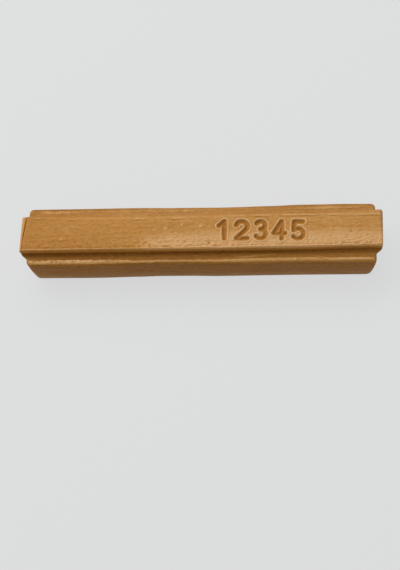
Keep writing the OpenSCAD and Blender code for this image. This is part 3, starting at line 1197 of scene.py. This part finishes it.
# Shades of tan, deep and pale wax. The deep one also serves painted shade and the pale one painted light
SLAB_SHADES = ((0.51, 0.242, 0.05), (0.29, 0.1, 0.006), (0.64, 0.37, 0.155))
BAR_SHADES = ((0.43, 0.192, 0.034), (0.22, 0.08, 0.004), (0.56, 0.295, 0.09))
FLASH_SHADES = ((0.47, 0.215, 0.042), (0.3, 0.12, 0.015), (0.64, 0.36, 0.13))


def wax_finish(name, shades, tone):
    """Wax of three shades. A tone says where it is deeper and where it is paler, in part as painted shade and
    light.
    """
    material = bpy.data.materials.new(name)
    material.use_nodes = True
    tree = material.node_tree
    shader = tree.nodes["Principled BSDF"]
    place = Term(tree).node("ShaderNodeTexCoord", {}, {}, "Object")
    patterns = wax_patterns(place)
    deeper, paler = tone(place)
    wear_and_painted_light = place.node("ShaderNodeAttribute", {"attribute_name": WEAR_AND_PAINTED_LIGHT}, {}, "Fac")
    # Below 0 the layer paints grooves, pits and creases deeper as shade; above 0 it paints worn wax and
    # highlights paler; above 1 it adds a painted glint.
    pressed_in_shade = held(wear_and_painted_light * -1)
    paler = (held(wear_and_painted_light) * WORN_AND_LIT_PALE + paler) * (1 - pressed_in_shade)
    deeper = pressed_in_shade * PRESSED_SHADE_DEEP + deeper
    colour = wax_colour(shades, patterns, deeper, paler, wear_and_painted_light)
    sheen = WAX_ROUGHNESS + (patterns.clouds + patterns.threads - 1) * ROUGHNESS_SWING
    sheen = sheen + deeper * DEEP_DULL - paler * GLOSS_GAIN
    height = patterns.threads * (1 - GRAIN_SHARE) + patterns.grain * GRAIN_SHARE
    bump_inputs = {"Strength": BUMP_STRENGTH, "Distance": BUMP_DISTANCE, "Height": height}
    place.feed(shader.inputs["Base Color"], colour)
    place.feed(shader.inputs["Roughness"], sheen)
    place.feed(shader.inputs["Normal"], place.node("ShaderNodeBump", {}, bump_inputs))
    shader.inputs["Specular IOR Level"].default_value = WAX_GLOSS
    shader.inputs["Subsurface Weight"].default_value = GLOW
    shader.inputs["Subsurface Scale"].default_value = GLOW_DEPTH
    shader.inputs["Subsurface Radius"].default_value = GLOW_RADII
    print(f"{name}: {len(tree.nodes)} nodes")
    return material


slab_wax = wax_finish("slab_wax", SLAB_SHADES, slab_tone)
bar_wax = wax_finish("bar_wax", BAR_SHADES, bar_tone)
flash_wax = wax_finish("flash_wax", FLASH_SHADES, flash_tone)

# %% Dress the pieces
for piece, finish in (
    (wax_bar, bar_wax),
    (wax_slab, slab_wax),
    (split_sliver, slab_wax),
    (front_rim_flash, flash_wax),
    (back_rim_flash, flash_wax),
):
    piece.data.materials.append(finish)
print("all pieces are dressed")

# %% [markdown]
# ## The paper floor
# The stick lies on plain white paper. One large face is enough, with a dull finish that keeps shadows.
# In the photograph the paper is pale right up to the stick. So what the camera and the wax's sheen see of
# it is mixed with an even, pale glow, which softens the shadow but leaves the light on the wax as it is.

# %% Lay the floor
FLOOR_HALF = 2.0

floor_bm = bmesh.new()
bmesh.ops.create_grid(floor_bm, x_segments=1, y_segments=1, size=FLOOR_HALF)
floor_mesh = bpy.data.meshes.new("floor")
floor_bm.to_mesh(floor_mesh)
floor_bm.free()
floor = bpy.data.objects.new("floor", floor_mesh)
bpy.context.scene.collection.objects.link(floor)
print(f"floor {2 * FLOOR_HALF:.0f} m square")

# %% Make the paper
PAPER = (0.78, 0.78, 0.78, 1)
PAPER_ROUGHNESS = 0.85
PAPER_LIFT = 0.86
PAPER_SHOWN = (0.72, 0.73, 0.73, 1)

paper = bpy.data.materials.new("paper")
paper.use_nodes = True
paper_shader = paper.node_tree.nodes["Principled BSDF"]
paper_shader.inputs["Base Color"].default_value = PAPER
paper_shader.inputs["Roughness"].default_value = PAPER_ROUGHNESS
sheet = Term(paper.node_tree)
seen = sheet.node("ShaderNodeLightPath", {}, {}, "Is Camera Ray")
mirrored = sheet.node("ShaderNodeLightPath", {}, {}, "Is Glossy Ray")
lift = seen.sum("MAXIMUM", seen, mirrored) * PAPER_LIFT
shown = sheet.node("ShaderNodeEmission", {}, {"Color": PAPER_SHOWN})
lit = Term(paper.node_tree, paper_shader.outputs["BSDF"])
mixed = sheet.node("ShaderNodeMixShader", {}, {0: lift, 1: lit, 2: shown})
sheet.feed(paper.node_tree.nodes["Material Output"].inputs["Surface"], mixed)
floor_mesh.materials.append(paper)
print(f"the paper is lifted by {PAPER_LIFT:.0%}")

# %% [markdown]
# ## The light
# The photograph's light is broad and comes from above, behind and a little left: the top and the back
# ledge are bright, while the front ledge and wall are dim. One wide lamp does that, and a grey world fills
# the shadows. Together they light a level face so that a colour shows about as it is written.

# %% Light the scene
LAMP_POWER = 3.15
LAMP_SIZE = (1.0, 0.34)
LAMP_PLACE = Vector((-0.22, 0.27, 0.39))
WORLD_STRENGTH = 0.42

lamp_data = bpy.data.lights.new("window", "AREA")
lamp_data.shape = "RECTANGLE"
lamp_data.size, lamp_data.size_y = LAMP_SIZE
lamp_data.energy = LAMP_POWER
lamp = bpy.data.objects.new("window", lamp_data)
lamp.location = LAMP_PLACE
lamp.rotation_euler = (-LAMP_PLACE).to_track_quat("-Z", "Y").to_euler()
bpy.context.scene.collection.objects.link(lamp)

world = bpy.data.worlds.new("room")
world.use_nodes = True
world.node_tree.nodes["Background"].inputs["Color"].default_value = (1, 1, 1, 1)
world.node_tree.nodes["Background"].inputs["Strength"].default_value = WORLD_STRENGTH
bpy.context.scene.world = world
bpy.context.scene.view_settings.view_transform = "Standard"
print(f"lamp of {LAMP_POWER} W and a world of {WORLD_STRENGTH}")
